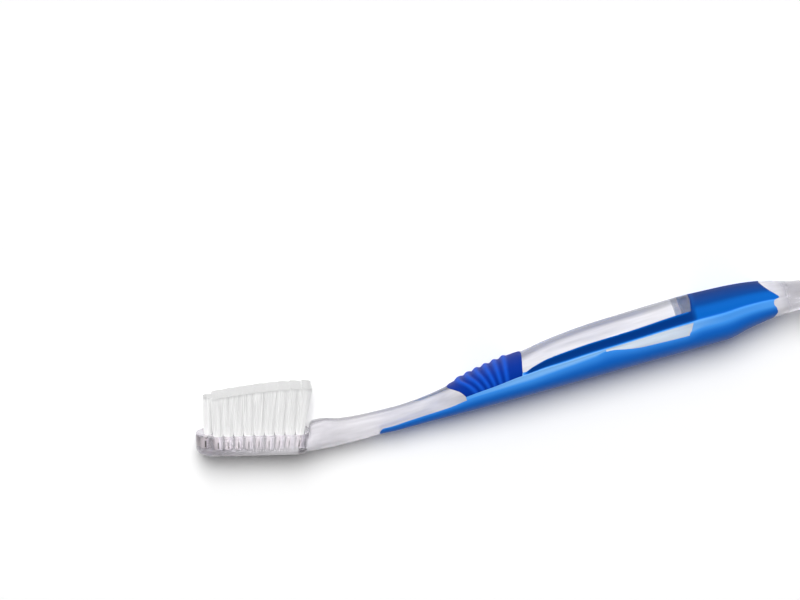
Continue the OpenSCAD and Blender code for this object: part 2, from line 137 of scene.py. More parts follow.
class HandleSizes(bpy.types.PropertyGroup):
    """Sizes of the neck, the handle and the tail."""

    neck_l: length("Neck length", 34.5, "From the head's heel to the front of the thumb pad")
    neck_h: length("Neck height", 5.5, "Height of the neck at its thinnest place")
    neck_w: length("Neck width", 5.7, "Width of the neck at its thinnest place")
    shoulder_w: length("Shoulder width", 8.9, "Width of the shoulder behind the head")
    ridge_h: length("Ridge height", 1.9, "Height of the ridge behind the head, above the bristled face")
    throat_h: length("Throat height", 6.8, "Height at the front of the thumb pad")
    throat_w: length("Throat width", 9.0, "Width at the front of the thumb pad")
    window_l: length("Window length", 42.1, "Length of the clear window")
    window_h: length("Window height", 10.0, "Height where the window starts")
    window_w: length("Window width", 13.4, "Width where the window starts")
    grip_h: length("Grip height", 12.5, "Height of the handle at its fullest")
    grip_w: length("Grip width", 14.2, "Width of the handle at its fullest")
    wedge_l: length("Wedge length", 22.5, "Length of the clear opening in each side of the grip")
    band_l: length("Band length", 20.7, "Length of the soft band, to the tips of its side lobes")
    collar_h: length("Collar height", 8.0, "Height at the rear of the band")
    collar_w: length("Collar width", 11.8, "Width at the rear of the band")
    tail_l: length("Tail length", 45.0, "Length of the clear tail")
    tail_h: length("Tail height", 4.6, "Height of the tail near its end")
    tail_w: length("Tail width", 10.4, "Width of the tail near its end")
    tail_lift: length("Tail lift", 2.1, "Height of the tail's underside above the floor")
    tail_end_l: length("Tail end", 5.4, "Length of the tail's rounded end")


class SkinSizes(bpy.types.PropertyGroup):
    """Sizes of the soft pieces moulded over the handle."""

    strip_l: length("Strip length", 18.4, "Soft strip on the neck's underside, ahead of the thumb pad")
    strip_nose: length("Strip nose", 1.2, "How far the strip's front is rounded back at its sides")
    strip_t: length("Strip thickness", 0.8, "Thickness of the soft strip on the neck")
    grip_t: length("Grip thickness", 1.3, "Thickness of the soft grip")
    flat_cut: length("Flat cut", 0.2, "Depth cut off the grip to give it a flat to rest on")
    ribs: count("Ribs", 6, 1, "Ribs across the thumb pad")
    rib_pitch: length("Rib pitch", 2.4, "From one rib to the next")
    rib_h: length("Rib height", 0.42, "Height of a rib")
    pad_front: length("Pad front", 1.7, "Smooth border ahead of the first rib")
    pad_rear: length("Pad rear", 3.2, "Smooth border behind the last rib")
    pad_proud: length("Pad height", 0.15, "Height of the pad's floor above the skin around it")
    pad_sweep: length("Pad sweep", 3.8, "How far the pad's front is swept back at the sides")
    pad_tuck: length("Pad tuck", 1.2, "How far the pad's rear is drawn forward at the sides")
    groove: length("Groove", 0.75, "Depth of the groove between the window and the grip")
    bead: length("Bead", 0.16, "Height of the soft bead along the crest of the grip")
    facet: length("Facet", 0.35, "Depth by which the band's upper sides are flattened")
    lobe_l: length("Lobes", 4.1, "How far the side lobes reach behind the band's top")
    band_slant: length("Band slant", 2.4, "Slant of the band's front")
    edge: length("Soft edge", 0.1, "Rounding of the edges of the soft pieces")
    sink: length("Bond", 0.03, "How far a soft piece sinks into the clear body, where the two are bonded")


class Finishes(bpy.types.PropertyGroup):
    """Colours and finishes."""

    clear: colour("Clear plastic", 0.9, 0.885, 0.925, "Tint of the clear plastic")
    clear_cast: colour("Clear plastic beside the blue", 0.79, 0.89, 1.0, "Its tint in the grip's openings")
    # Painted light on the soft grip: a painted highlight along the crest that fades below it, and painted shade
    # on the band's upper sides and top edge, towards the underside and deep in the groove.
    crest_highlight_blue: colour("Edge blue", 0.24, 0.52, 0.92, "The grip's crest, where light shines through it")
    highlight_fade_blue: colour("Crest blue", 0.05, 0.3, 0.85, "The soft grip just below its crest")
    grip_blue: colour("Grip blue", 0.005, 0.14, 0.62, "The soft grip's sides")
    top_and_bottom_shade_blue: colour("Band blue", 0.0, 0.12, 0.52, "The band's upper sides")
    deepest_shade_blue: colour("Groove blue", 0.0, 0.04, 0.23, "Colour deep in the groove beside the window")
    rib_blue: colour("Rib blue", 0.005, 0.085, 0.58, "The thumb pad's ribs")
    # Painted shade: the darker blue between the thumb pad's ribs.
    rib_valley_shade_blue: colour("Pad blue", 0.0, 0.03, 0.3, "The thumb pad between its ribs")
    nylon: colour("Nylon", 0.98, 0.98, 0.98, "The bristles")
    # The roots' duller colour is partly packed nylon's own and partly painted shade inside the holes.
    root: colour("Roots", 0.74, 0.68, 0.69, "The bristles where they are packed into their holes")
    anchor: colour("Anchor metal", 0.14, 0.12, 0.1, "The metal anchors")
    table: colour("Table", 1.0, 1.0, 1.0, "The table that the brush lies on")


def only(piece):
    """Makes a piece the one selected and active object."""
    bpy.ops.object.select_all(action="DESELECT")
    piece.select_set(True)
    bpy.context.view_layer.objects.active = piece
    return piece


def edit(piece, action="DESELECT"):
    """Opens a piece in edit mode with nothing selected, or all of it."""
    only(piece)
    bpy.ops.object.mode_set(mode="EDIT")
    bpy.ops.mesh.select_all(action=action)


def close():
    """Leaves edit mode."""
    bpy.ops.object.mode_set(mode="OBJECT")


def choose(piece, kind, test):
    """Selects the vertices, edges or faces that pass a test, in edit mode."""
    bpy.ops.mesh.select_mode(type=kind)
    bpy.ops.mesh.select_all(action="DESELECT")
    mesh = bmesh.from_edit_mesh(piece.data)
    for part in {"VERT": mesh.verts, "EDGE": mesh.edges, "FACE": mesh.faces}[kind]:
        if test(part):
            part.select_set(True)
    mesh.select_flush_mode()
    bmesh.update_edit_mesh(piece.data)


def modify(piece, kind, **settings):
    """Adds a modifier with its settings and applies it."""
    only(piece)
    bpy.ops.object.modifier_add(type=kind)
    modifier = piece.modifiers[-1]
    for name, value in settings.items():
        setattr(modifier, name, value)
    bpy.ops.object.modifier_apply(modifier=modifier.name)


def settle(piece, name, place=None):
    """Names a piece, puts its place into its mesh and leaves its object at the origin."""
    piece.name = name
    piece.data.name = name
    if place is not None:
        piece.data.transform(place)
    only(piece)
    bpy.ops.object.transform_apply(location=True, rotation=True, scale=True)
    return piece


def join(pieces, name):
    """Joins pieces into the first one."""
    bpy.ops.object.select_all(action="DESELECT")
    for piece in pieces:
        piece.select_set(True)
    bpy.context.view_layer.objects.active = pieces[0]
    bpy.ops.object.join()
    return settle(pieces[0], name)


def smooth(piece, degrees):
    """Shades a piece smooth, apart from its edges sharper than an angle."""
    only(piece)
    bpy.ops.object.shade_smooth_by_angle(angle=math.radians(degrees))


def dress(piece, material, slot, *nodes):
    """Gives a piece its material, its body and the CAD nodes that it stands for. The slot is not used."""
    piece.data.materials.clear()
    piece.data.materials.append(material)
    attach(piece, BODY)
    if nodes:
        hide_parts(*nodes)


def mix(a, b, part):
    """The value a given part of the way from a to b."""
    return a + (b - a) * part


class SmoothLine:
    """A smooth line through rows of (place, value), with no overshoot between them."""

    def __init__(self, rows):
        self.places = [row[0] for row in rows]
        self.values = [row[1] for row in rows]
        rises = [(b[1] - a[1]) / (b[0] - a[0]) for a, b in zip(rows, rows[1:])]
        inner = [0.0 if a * b <= 0 else 2 * a * b / (a + b) for a, b in zip(rises, rises[1:])]
        self.slopes = [0.0, *inner, 0.0]

    def __call__(self, place):
        n = min(max(bisect.bisect_left(self.places, place) - 1, 0), len(self.places) - 2)
        run = self.places[n + 1] - self.places[n]
        s = min(1.0, max(0.0, (place - self.places[n]) / run))
        bend = s * s * (3 - 2 * s)
        pull = (1 - s) * self.slopes[n] - s * self.slopes[n + 1]
        return mix(self.values[n], self.values[n + 1], bend) + run * s * (1 - s) * pull


def between(shares, stretch, v0, v1):
    """Rows of (place, value) from rows of (share of the way along a stretch, share of the change)."""
    return [(stretch(s), mix(v0, v1, t)) for s, t in shares]


def early(share):
    """A share that is whole by half way."""
    return min(1.0, 2 * share)


def head_length(head):
    """Length of the head along its bristled face."""
    return (head.columns - 1) * head.pitch + head.hole + head.tip_rim + head.heel_rim


def head_width(head):
    """Width of the head."""
    return (head.rows - 1) * head.row_pitch + head.hole + 2 * head.side_rim


# What covers the skin, and the lines along the handle between its pieces, counted from the top to the bottom.
CLEAR, GRIP, PAD = range(3)
WINDOW_LINE = 4
GROOVE_LINE = 5
CREST_LINE = 6
STRIP_LINE = 8
FOOT_LINE = 12
HALF_LINES = 13
LINE_STEPS = 4
FOOT_ANGLE = 164

# How square the sections are, how the lines are shifted and spaced, and how far apart the end's stations are.
SQUARE_SHARE = 0.85
NOSE_SHARE = 0.3
GROOVE_SHARE = 0.68
SIDE_SHIFT = 0.6
PAD_FADE = 3
END_STEP = 4
JOINED = 0.001 * MM

# The handle's profiles, as (share of the way along a stretch, share of the change), or by line.
RIDGE_SHARES = [(-1.2, -0.35), (-0.34, -0.3), (0, 0.1), (0.12, 0.55), (0.26, 0.86), (0.5, 1), (0.9, 1)]
NECK_TOP_SHARES = [(0.24, 0.4), (0.42, 0.12), (0.64, 0)]
THROAT_TOP_SHARES = [(0.4, 0.22), (0.78, 0.62), (1, 1)]
PAD_TOP_SHARES = [(0.2, 0.28), (0.4, 0.54), (0.65, 0.78), (0.9, 0.97), (1, 1)]
WINDOW_TOP_SHARES = [(0.13, 0.36), (0.26, 0.62), (0.4, 0.81), (0.62, 0.92), (0.9, 1), (1, 0.99)]
BAND_TOP_SHARES = [(0.15, 0.06), (0.4, 0.16), (0.6, 0.31), (0.8, 0.57), (1, 1)]
TAIL_TOP_SHARES = [(0.1, 0.42), (0.24, 0.66), (0.5, 0.86), (0.85, 1), (1, 1)]
NECK_SIDE_SHARES = [(-0.11, 0.96), (0.03, 1), (0.15, 0.34), (0.27, 0.1), (0.64, 0)]
THROAT_SIDE_SHARES = [(0.4, 0.16), (0.78, 0.62), (1, 1)]
PAD_SIDE_SHARES = [(0.34, 0.44), (0.6, 0.72), (1, 1)]
WINDOW_SIDE_SHARES = [(0.2, 0.5), (0.4, 0.9), (0.7, 1), (1, 0.85)]
BAND_SIDE_SHARES = [(0.5, 0.38), (1, 1)]
TAIL_SIDE_SHARES = [(0.2, 0.5), (0.5, 0.85), (0.85, 1), (1, 1)]
ROOT_LOW_SHARES = [(-0.11, 0.33), (-0.035, 0.19), (0.04, 0.115), (0.12, 0.06), (0.24, 0.03)]
BAND_LOW_SHARES = [(0.3, 0), (0.58, 0.5), (0.8, 0.82), (1, 1), (1.3, 1)]
SLANT_SHARES = [0, 0, 0.04, 0.12, 0.25, 0.28, 0.32, 0.62, 1, 1, 1, 1, 1, 1]
LOBE_SHARES = [0.14, 0.2, 0.32, 0.5, 0.74, 1, 0.66, 0.6, 0.7, 0.72, 0.6, 0.46, 0.4, 0.4]

# The stations round the heel, as (place, steps to the next).
HEEL_STEPS = [(-1.2, 8), (-0.34, 4), (0, 3), (0.12, 3), (0.26, 3), (0.5, 4), (0.9, 4), (1.5, 18)]


class HandleForm:
    """The form of the neck, handle and tail, and where each piece covers it."""

    def __init__(self, head, handle, skin):
        self.skin = skin
        self.tail_end_l = handle.tail_end_l
        edge_h = head.thickness - head.belly
        head_run = head_length(head) * math.cos(head.tilt) + edge_h * math.sin(head.tilt)
        pad_l = skin.pad_front + skin.ribs * skin.rib_pitch + skin.pad_rear
        self.x_heel = x_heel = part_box("clear_body")[0].x + head_run
        self.x_pad = x_pad = x_heel + handle.neck_l
        self.x_strip = x_strip = x_pad - skin.strip_l
        self.x_window = x_window = x_pad + pad_l
        self.x_band = x_band = x_window + handle.window_l
        self.x_wedge = x_wedge = x_band - handle.wedge_l
        self.x_rear = x_rear = x_band + handle.band_l
        self.x_end = x_end = x_rear + handle.tail_l
        self.x_ribs = x_pad + skin.pad_front
        self.x_smooth = x_window - skin.pad_rear
        in_neck = partial(mix, x_heel, x_pad)
        in_throat = partial(mix, in_neck(NECK_TOP_SHARES[-1][0]), x_pad)
        in_strip = partial(mix, x_strip, x_pad)
        in_pad = partial(mix, x_pad, x_window)
        in_window = partial(mix, x_window, x_band)
        in_band = partial(mix, x_band, x_rear)
        in_tail = partial(mix, x_rear, x_end)
        ridge = head.deck + handle.ridge_h
        tail_top = handle.tail_h + handle.tail_lift
        collar_top = handle.collar_h + handle.tail_lift
        fullest = mix(handle.window_w, handle.grip_w, WINDOW_SIDE_SHARES[-1][1])
        self.top = SmoothLine(
            [(x_heel + s * edge_h, head.deck + t * handle.ridge_h) for s, t in RIDGE_SHARES]
            + between(NECK_TOP_SHARES, in_neck, handle.neck_h, ridge)
            + between(THROAT_TOP_SHARES, in_throat, handle.neck_h, handle.throat_h)
            + between(PAD_TOP_SHARES, in_pad, handle.throat_h, handle.window_h)
            + between(WINDOW_TOP_SHARES, in_window, handle.window_h, handle.grip_h)
            + between(BAND_TOP_SHARES, in_band, handle.grip_h, collar_top)
            + between(TAIL_TOP_SHARES, in_tail, collar_top, tail_top)
        )
        self.half_width = SmoothLine(
            between(NECK_SIDE_SHARES, in_neck, handle.neck_w / 2, handle.shoulder_w / 2)
            + between(THROAT_SIDE_SHARES, in_throat, handle.neck_w / 2, handle.throat_w / 2)
            + between(PAD_SIDE_SHARES, in_pad, handle.throat_w / 2, handle.window_w / 2)
            + between(WINDOW_SIDE_SHARES, in_window, handle.window_w / 2, handle.grip_w / 2)
            + between(BAND_SIDE_SHARES, in_band, fullest / 2, handle.collar_w / 2)
            + between(TAIL_SIDE_SHARES, in_tail, handle.collar_w / 2, handle.tail_w / 2)
        )
        flat = -skin.flat_cut
        self.low = SmoothLine(
            [(in_neck(s), head.deck * t) for s, t in ROOT_LOW_SHARES]
            + [(in_neck(0.36), -flat / 2), (x_strip, -flat / 2), (in_strip(0.25), flat)]
            + between(BAND_LOW_SHARES, in_band, flat, handle.tail_lift)
        )
        self.window_edge = SmoothLine([
            (x_pad, 62), (self.x_smooth, 66), (x_window, 73), (x_window + skin.pad_tuck, 68),
            (in_window(0.16), 61.5), (in_window(0.6), 60.5), (x_band, 55), (x_end, 55),
        ])
        self.crest = SmoothLine([
            (x_heel, 82), (in_pad(0.5), 84), (x_window, 80), (in_window(0.25), 84), (x_wedge, 84),
            (x_band, 81.5), (x_end, 81.5),
        ])
        self.strip_edge = SmoothLine([
            (x_heel, 109), (x_strip, 109), (in_strip(0.45), 101), (x_pad, 95), (x_pad + skin.pad_sweep, 92),
            (x_window, 96), (mix(x_window, x_wedge, 0.85), 92), (x_wedge, 88),
            (mix(x_wedge, x_band, 0.4), 97), (x_band, 101), (x_end, 101),
        ])
        self.nose = SmoothLine([(mix(x_heel, x_strip, 0.7), 0), (x_strip, skin.strip_nose), (in_strip(0.3), 0)])
        self.sweep = SmoothLine([
            (in_strip(0.3), 0), (x_pad, skin.pad_sweep), (x_window, -skin.pad_tuck), (in_window(0.2), 0),
        ])
        self.slant = SmoothLine([(in_window(0.8), 0), (x_band, skin.band_slant), (in_band(0.4), 0)])
        self.lobe = SmoothLine([(x_band, 0), (in_band(0.5), 0.25), (x_rear, 1), (in_tail(0.3), 0)])
        self.slant_of_line = SmoothLine(list(enumerate(SLANT_SHARES)))
        self.lobe_of_line = SmoothLine(list(enumerate(LOBE_SHARES)))
        self.thickness = SmoothLine([
            (x_strip, skin.strip_t), (x_pad, skin.strip_t), (in_pad(0.4), skin.grip_t), (x_end, skin.grip_t),
        ])
        self.groove_along = SmoothLine([
            (x_window, 0), (in_window(0.04), 0.5), (in_window(0.2), 0.8), (in_window(0.7), 1),
            (in_window(0.93), 1), (x_band, 0.3), (in_band(0.12), 0),
        ])
        self.groove_across = SmoothLine([
            (WINDOW_LINE, 0), (4.4, 0.45), (4.9, 0.95), (5.1, 1), (5.5, 0.7), (CREST_LINE, 0),
        ])
        self.facet_along = SmoothLine([
            (in_window(0.97), 0), (in_band(0.15), 1), (in_band(0.6), 1), (in_band(0.95), 0.6),
            (in_tail(0.1), 0),
        ])
        self.facet_across = SmoothLine([(0.5, 0), (2, 0.4), (4, 1), (5.2, 0.9), (CREST_LINE, 0)])
        self.bead_along = SmoothLine([
            (in_pad(0.2), 0), (x_window, 0.9), (x_band, 1), (in_band(0.7), 0.7), (x_rear, 0),
        ])
        self.bead_across = SmoothLine([(5.5, 0), (5.9, 1), (6.1, 1), (6.8, 0)])
        # Painted light in the grip's tone: painted shade in the groove, a painted highlight at the crest that
        # darkens to painted shade towards the underside, a least tone along the brush that is deeper at the
        # strip and the band, painted shade on the band's upper sides and top edge, and a painted shade line at
        # the band's front.
        self.groove_tone = SmoothLine([(WINDOW_LINE, 0.6), (4.25, 1), (5.35, 1), (5.95, 0)])
        self.side_tone = SmoothLine([
            (5.6, 0), (6.7, 0), (7.8, 0.25), (8.9, 0.48), (10, 0.56), (FOOT_LINE, 0.68),
        ])
        self.edge_tone = SmoothLine([
            (x_strip, 0.3), (x_pad, 0.2), (x_window, 0.08), (x_wedge, 0), (x_band, 0.12), (in_band(0.4), 0.22),
        ])
        self.facet_tone = SmoothLine([(0, 1), (2.9, 0.94), (3.9, 0.78), (5.3, 0.7), (5.8, 0)])
        self.band_front_shade_tone = SmoothLine([(x_band, 1), (x_band + 0.8 * MM, 0.9), (x_band + 2.4 * MM, 0)])
        self.crown_along = SmoothLine([(x_pad, 1), (x_window, 0.75)])
        self.crown_across = SmoothLine([(0, 1), (0.8, 1), (2.3, 0)])
        self.cast_across = SmoothLine([(5.8, 0), (6.2, 1), (7.8, 1), (8.2, 0)])
        self.haze_rows = [
            (x_heel - edge_h, 0.5), (x_heel, 0.55), (x_strip, 0.6), (x_pad, 0.65), (x_window, 0.72),
            (x_band, 0.78), (in_band(0.3), 0.7), (x_rear - skin.lobe_l, 0.95), (x_rear, 0.6),
            (in_tail(0.05), 0.2),
        ]
        knots = [(x_heel + s * edge_h, steps) for s, steps in HEEL_STEPS]
        knots += [
            (x_strip, 22), (x_pad, 5), (self.x_ribs, 12 * skin.ribs), (self.x_smooth, 8), (x_window, 26),
            (x_wedge, 26), (x_band, 30), (x_rear, 40), (x_end - handle.tail_end_l, 0),
        ]
        self.stations = [mix(a[0], b[0], n / a[1]) for a, b in zip(knots, knots[1:]) for n in range(a[1])]
        rounding = [math.sin(math.radians(turn)) for turn in range(0, 90, END_STEP)]
        self.stations += [x_end - handle.tail_end_l * (1 - reach) for reach in rounding]

    def end_share(self, x):
        """The rounded end of the tail, as a share of its full width."""
        s = max(0.0, (x - self.x_end + self.tail_end_l) / self.tail_end_l)
        return math.sqrt(max(0.0, 1 - s * s))

    def line_angle(self, k, x):
        """The angle of line k round the section at x: 0 is the top and 180 the bottom."""
        edge, crest, strip = self.window_edge(x), self.crest(x), self.strip_edge(x)
        knots = [
            (0, 0), (WINDOW_LINE, edge), (GROOVE_LINE, mix(edge, crest, GROOVE_SHARE)), (CREST_LINE, crest),
            (STRIP_LINE, strip), (FOOT_LINE, FOOT_ANGLE), (HALF_LINES, 180),
        ]
        for (k0, a0), (k1, a1) in zip(knots, knots[1:]):
            if k <= k1:
                return math.radians(mix(a0, a1, (k - k0) / (k1 - k0)))
        return math.pi

    def line_x(self, station, k):
        """Where line k crosses a station, which is shifted where a piece ends on a slant or a curve."""
        nose = 1 if k <= STRIP_LINE else NOSE_SHARE ** (k - STRIP_LINE)
        sweep = 1 if k >= CREST_LINE else math.sin(math.pi / 2 * k / CREST_LINE) ** 2
        return (
            station + self.nose(station) * nose + self.sweep(station) * sweep
            - self.slant(station) * self.slant_of_line(k)
            - self.skin.lobe_l * (1 - self.lobe_of_line(k)) * self.lobe(station)
        )

    def cover(self, station, k):
        """The piece that covers the skin at a station and a line."""
        if station < self.x_strip or station > self.x_rear:
            return CLEAR
        if station < self.x_pad:
            return GRIP if k > STRIP_LINE else CLEAR
        if station < self.x_window:
            return GRIP if k > CREST_LINE else PAD
        if station < self.x_band and (
            k < WINDOW_LINE or (station > self.x_wedge and CREST_LINE < k < STRIP_LINE)
        ):
            return CLEAR
        return GRIP

    def dip(self, station, k):
        """Depth of the groove beside the window, and of the flattened upper sides of the band."""
        groove = self.skin.groove * self.groove_across(k) * self.groove_along(station)
        bead = self.skin.bead * self.bead_across(k) * self.bead_along(station)
        return groove + self.skin.facet * self.facet_across(k) * self.facet_along(station) - bead

    def tone(self, station, k):
        """How deep the blue of the grip is, as painted light: 0 is a painted highlight along the crest, and 1 is
        painted shade in the groove.
        """
        groove = self.groove_tone(k) * early(self.groove_along(station))
        facet = self.facet_tone(k) * early(self.facet_along(station))
        front_shade = self.band_front_shade_tone(station) * early(self.facet_tone(k)) if station >= self.x_band else 0.0
        side = self.side_tone(k + SIDE_SHIFT * self.facet_along(station))
        return max(groove, facet, front_shade, side, self.edge_tone(station))

    def crown(self, station, k):
        """How clear the plastic stays, most of all along the top of the neck, where it also sets painted shade
        on the very top.
        """
        return self.crown_across(k) * self.crown_along(station) if station < self.x_band else 0.0

    def cast(self, station, k):
        """How much of the grip's blue the plastic takes on: 1 in the openings in the grip's sides."""
        return self.cast_across(k) if self.x_wedge < station < self.x_band else 0.0

    def rib_shade_tone(self, station, _):
        """How deep the blue of the thumb pad is: 0 on its ribs, 1 between them, where it paints shade in the
        valleys.
        """
        return min(1.0, max(0.0, 1 - (self.pad_height(station, 0) - self.skin.pad_proud) / self.skin.rib_h))

    def pad_height(self, station, k):
        """Height of the thumb pad over the skin, with its ribs."""
        if k >= CREST_LINE or not self.x_pad < station < self.x_window:
            return 0.0
        turns = (station - self.x_ribs) / self.skin.rib_pitch
        wave = (1 - math.cos(math.tau * turns)) / 2 if 0 < turns < self.skin.ribs else 0.0
        fade = min(1.0, (CREST_LINE - k) / PAD_FADE)
        return (self.skin.pad_proud + self.skin.rib_h * wave) * fade

    def point(self, station, k, side, inset):
        """The point at a station and a line, drawn in from the skin by an inset."""
        x = self.line_x(station, k)
        turn = self.line_angle(k, x)
        low = self.low(x)
        half_h = (self.top(x) - low) / 2
        end = self.end_share(x)
        across, up = math.sin(turn), math.cos(turn)
        y = (self.half_width(x) * end - inset) * abs(across) ** SQUARE_SHARE
        z = (half_h * math.sqrt(end) - inset) * math.copysign(abs(up) ** SQUARE_SHARE, up)
        return Vector((x, side * y, max(0.0, low + half_h + z)))


def line_of(row):
    """The line of a row of the wrapped grid, and its side of the brush."""
    k = row / LINE_STEPS
    return (k, 1) if k <= HALF_LINES else (2 * HALF_LINES - k, -1)


def wrapped_point(form, i, j, inset_of):
    """The point of the wrapped grid at column i and row j."""
    k, side = line_of(j)
    station = form.stations[i]
    return form.point(station, k, side, inset_of(station, k))


def wrapped(form, piece_cover, inset_of):
    """A flat grid wrapped round the handle's form. Each vertex keeps its station, its line and its looks."""
    columns, rows = len(form.stations) - 1, 2 * HALF_LINES * LINE_STEPS
    bpy.ops.mesh.primitive_grid_add(x_subdivisions=columns, y_subdivisions=rows, size=1.0, location=(0, 0, 0))
    skin = bpy.context.object
    mesh = skin.data
    places = [(round((v.co.x + 0.5) * columns), round((v.co.y + 0.5) * rows)) for v in mesh.vertices]
    covers = []
    for face in mesh.polygons:
        i = int((face.center.x + 0.5) * columns)
        station = (form.stations[i] + form.stations[i + 1]) / 2
        covers.append(form.cover(station, line_of((face.center.y + 0.5) * rows)[0]))
    for name, kind, values in (
        ("station", "POINT", [i for i, _ in places]),
        ("line", "POINT", [j for _, j in places]),
        ("cover", "FACE", covers),
    ):
        mesh.attributes.new(name, "INT", kind).data.foreach_set("value", values)
    tone = form.rib_shade_tone if piece_cover == PAD else form.tone
    for name, look in (("tone", tone), ("crown", form.crown), ("cast", form.cast)):
        values = [look(form.stations[i], line_of(j)[0]) for i, j in places]
        mesh.attributes.new(name, "FLOAT", "POINT").data.foreach_set("value", values)
    for vertex, (i, j) in zip(mesh.vertices, places):
        vertex.co = wrapped_point(form, i, j, inset_of)
    edit(skin)
    if piece_cover is not None:
        layer = bmesh.from_edit_mesh(mesh).faces.layers.int["cover"]
        choose(skin, "FACE", lambda face: face[layer] != piece_cover)
        bpy.ops.mesh.delete(type="FACE")
    bpy.ops.mesh.select_all(action="SELECT")
    bpy.ops.mesh.remove_doubles(threshold=JOINED)
    close()
    return skin


def draw_in(piece, form, inset_of):
    """Moves the selected vertices to another level under the skin."""
    mesh = bmesh.from_edit_mesh(piece.data)
    station, line = mesh.verts.layers.int["station"], mesh.verts.layers.int["line"]
    for vertex in mesh.verts:
        if vertex.select:
            vertex.co = wrapped_point(form, vertex[station], vertex[line], inset_of)
    bmesh.update_edit_mesh(piece.data)


def soft_shell(form, piece_cover, outer, name):
    """A soft piece: the part of the skin that it covers, given its thickness down to the clear body."""
    shell = wrapped(form, piece_cover, outer)
    edit(shell, "SELECT")
    bpy.ops.mesh.extrude_region_move()
    draw_in(shell, form, lambda station, k: form.thickness(form.line_x(station, k)) + form.skin.sink)
    bpy.ops.mesh.select_all(action="SELECT")
    bpy.ops.mesh.normals_make_consistent(inside=False)
    close()
    modify(
        shell, "BEVEL", width=form.skin.edge, segments=2, limit_method="ANGLE",
        angle_limit=math.radians(BEVEL_SHARP), harden_normals=False,
    )
    smooth(shell, SKIN_SHARP)
    return settle(shell, name)


def deck_frame(form, head):
    """The bristled face's own frame: X along the head, Z out of the face, the origin at the heel."""
    return Matrix.Translation((form.x_heel, 0, head.deck)) @ Matrix.Rotation(head.tilt, 4, "Y")


def tuft_places(head):
    """The tufts as (distance from the heel, place across, share of the way to the heel, open sides)."""
    last = head.columns - 1
    places = []
    for column in range(head.columns):
        rows = head.rows if column else head.tip_rows
        for row in range(rows):
            along = -(head.heel_rim + head.hole / 2 + (last - column) * head.pitch)
            sides = {(-1, 0): column == 0, (1, 0): column == last, (0, -1): row == 0, (0, 1): row == rows - 1}
            places.append((along, (row - (rows - 1) / 2) * head.row_pitch, column / last, sides))
    return places


def lean_of(bristles, part):
    """The lean of a tuft towards the handle."""
    return bristles.lean * part**2


def tuft_frame(deck, bristles, place):
    """A tuft's own frame, with Z along its bristles."""
    along, across, part, _ = place
    return deck @ Matrix.Translation((along, across, 0)) @ Matrix.Rotation(lean_of(bristles, part), 4, "Y")


def new_material(name):
    """A material with its node tree, its shader and its output."""
    material = bpy.data.materials.new(name)
    material.use_nodes = True
    tree = material.node_tree
    tree.nodes.clear()
    shader = node(tree, "BsdfPrincipled")
    return material, tree, shader, node(tree, "OutputMaterial", {"Surface": shader.outputs["BSDF"]})


def wire(tree, made, inputs):
    """Gives each socket of a node its value, or the output that feeds it."""
    for socket, value in inputs.items():
        if isinstance(value, bpy.types.NodeSocket):
            tree.links.new(value, made.inputs[socket])
        else:
            made.inputs[socket].default_value = value
    return made


def node(tree, kind, inputs=None, **settings):
    """Adds a shader node of a kind, with its settings and inputs."""
    made = tree.nodes.new(f"ShaderNode{kind}")
    for name, value in settings.items():
        setattr(made, name, value)
    return wire(tree, made, inputs or {})


def calc(tree, operation, *values, **settings):
    """A sum on outputs and numbers."""
    return node(tree, "Math", dict(enumerate(values)), operation=operation, **settings).outputs[0]


def product(tree, *factors):
    """All factors multiplied."""
    return reduce(partial(calc, tree, "MULTIPLY"), factors)


def ranged(tree, value, span=(0, 1), result=(0, 1)):
    """A value carried from one range to another, and held at its ends."""
    return node(tree, "MapRange", {
        "Value": value, "From Min": span[0], "From Max": span[1], "To Min": result[0], "To Max": result[1],
    }).outputs["Result"]


def ramp(tree, value, stops):
    """A colour ramp, with its stops as (position, colour)."""
    made = node(tree, "ValToRGB", {"Fac": value})
    elements = made.color_ramp.elements
    while len(elements) < len(stops):
        elements.new(1.0)
    for element, (position, tint) in zip(elements, stops):
        element.position = position
        element.color = (*tint, 1)
    return made.outputs["Color"]


def kept(tree, name):
    """A value that the mesh keeps for each vertex."""
    return node(tree, "Attribute", attribute_name=name).outputs["Fac"]


def rays(tree):
    """What kind of ray meets the surface."""
    return node(tree, "LightPath").outputs


def own_place(tree, frame_name="Object"):
    """The place of each point, whole and by its axes, in the piece's own frame unless another is named."""
    where = node(tree, "TexCoord").outputs[frame_name]
    return where, node(tree, "SeparateXYZ", {"Vector": where}).outputs


def grain(tree, scale, detail=2, stretch=None):
    """A fine noise, stretched along the piece if asked."""
    where = node(tree, "TexCoord").outputs["Object"]
    if stretch:
        where = node(tree, "Mapping", {"Vector": where, "Scale": stretch}).outputs["Vector"]
    return node(tree, "TexNoise", {"Vector": where, "Scale": scale, "Detail": detail}).outputs["Fac"]


def shade(tree, tint, light):
    """A colour multiplied by a share of light."""
    return node(tree, "VectorMath", {0: tint, 1: light}, operation="MULTIPLY").outputs["Vector"]


def blend(tree, part, first, second):
    """Two shaders mixed: the second by its part, and the first by the rest."""
    return node(tree, "MixShader", {0: part, 1: first, 2: second}).outputs[0]


def haze_along(tree, form, x):
    """The haze in the plastic along the brush."""
    start, run = form.haze_rows[0][0], form.x_end - form.haze_rows[0][0]
    stops = [((place - start) / run, (haze, haze, haze)) for place, haze in form.haze_rows]
    return ramp(tree, ranged(tree, x, (start, form.x_end)), stops)


def clear_patch(tree, form, place):
    """1 in the clear patch at the window's rear, where the band begins."""
    patch_l, soft_edge = 4.2 * MM, 0.3 * MM
    low_edge = (7.2 * MM, 7.8 * MM)
    start = form.x_band - patch_l
    behind = ranged(tree, place["X"], (start - soft_edge, start))
    ahead = calc(tree, "LESS_THAN", place["X"], form.x_band + MM)
    return product(tree, behind, ahead, ranged(tree, place["Z"], low_edge))


